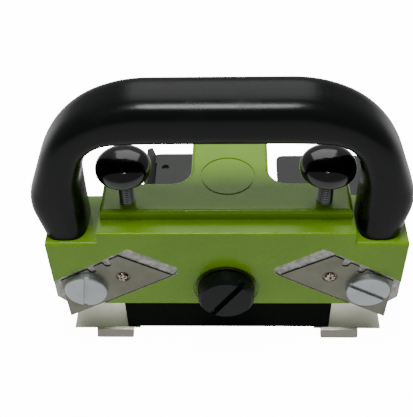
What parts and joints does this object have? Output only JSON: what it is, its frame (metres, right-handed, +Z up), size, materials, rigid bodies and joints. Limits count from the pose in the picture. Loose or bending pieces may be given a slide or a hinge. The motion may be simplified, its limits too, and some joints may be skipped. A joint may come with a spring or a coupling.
{
  "type": "carpet edge trimmer",
  "caption": "Hand-held carpet edge trimmer: cast body with a wide D handle, angled clamped blades on the front face and a screw-adjusted sliding base on shoes and skids.",
  "frame": {"origin": "on the floor, under the middle of the bounding box", "axes": "+X to the tool's right seen from its blade face, +Y from the blade face towards the tail, +Z up from the floor"},
  "size_m": [0.1941, 0.1644, 0.1612],
  "materials": {
    "green_paint": "glossy apple green enamel on cast aluminium",
    "handle_black": "semi-gloss black moulded plastic",
    "insert_brass": "turned",
    "bolt_steel": "black oxide",
    "washer_zinc": "zinc plated",
    "blade_steel": "ground and lightly oiled",
    "pin_steel": "turned",
    "screw_zinc": "bright zinc, fine turning marks",
    "lock_black": "black oxide, slightly glossy",
    "washer_dark": "dark, oiled",
    "base_black": "black",
    "post_steel": "ground",
    "shoe_steel": "polished spring steel",
    "skid_grey": "dark grey, matt",
    "stud_zinc": "zinc plated thread",
    "knob_black": "glossy black moulded plastic",
    "clip_steel": "phosphated spring steel"
  },
  "bodies": {
    "casting": {"body_casting": "green_paint", "handle": "handle_black", "handle_inserts": "insert_brass", "handle_bolts": "bolt_steel", "handle_washers": "washer_zinc", "blade_left": "blade_steel", "blade_right": "blade_steel", "blade_pins": "pin_steel", "lock_washer": "washer_dark"},
    "base": {"base_block": "base_black", "guide_posts": "post_steel", "thrust_washers": "washer_zinc", "shoe_left": "shoe_steel", "shoe_right": "shoe_steel", "shoe_screws": "bolt_steel", "skid_left": "skid_grey", "skid_right": "skid_grey", "skid_screws": "bolt_steel"},
    "thumb_left": {"stud_left": "stud_zinc", "knob_left": "knob_black", "clip_left": "clip_steel"},
    "thumb_right": {"stud_right": "stud_zinc", "knob_right": "knob_black", "clip_right": "clip_steel"},
    "clamp_left": {"blade_screw_left": "screw_zinc"},
    "clamp_right": {"blade_screw_right": "screw_zinc"},
    "lock": {"lock_screw": "lock_black"}
  },
  "joints": [
    {"name": "height_adjust", "type": "slide", "parent": "casting", "child": "base", "axis": [0, 0, 1], "range_m": [-0.008, 0.005]},
    {"name": "thumb_left_turn", "type": "hinge", "parent": "base", "child": "thumb_left", "pos_m": [-0.0494, -0.0548, 0.05], "axis": [0, 0, 1], "range_deg": [-2306, 1442]},
    {"name": "thumb_right_turn", "type": "hinge", "parent": "base", "child": "thumb_right", "pos_m": [0.0494, -0.0548, 0.05], "axis": [0, 0, 1], "range_deg": [-2306, 1442]},
    {"name": "clamp_left_turn", "type": "hinge", "parent": "casting", "child": "clamp_left", "pos_m": [-0.0739, -0.0733, 0.045], "axis": [0, -1, 0], "range_deg": [0, 90]},
    {"name": "clamp_right_turn", "type": "hinge", "parent": "casting", "child": "clamp_right", "pos_m": [0.0739, -0.0733, 0.045], "axis": [0, -1, 0], "range_deg": [0, 90]},
    {"name": "lock_turn", "type": "hinge", "parent": "casting", "child": "lock", "pos_m": [0, -0.0733, 0.045], "axis": [0, -1, 0], "range_deg": [0, 180]}
  ],
  "couplings": [
    {"joint": "thumb_left_turn", "follows": "height_adjust", "rad_per_m": 5026.5},
    {"joint": "thumb_right_turn", "follows": "height_adjust", "rad_per_m": 5026.5}
  ]
}
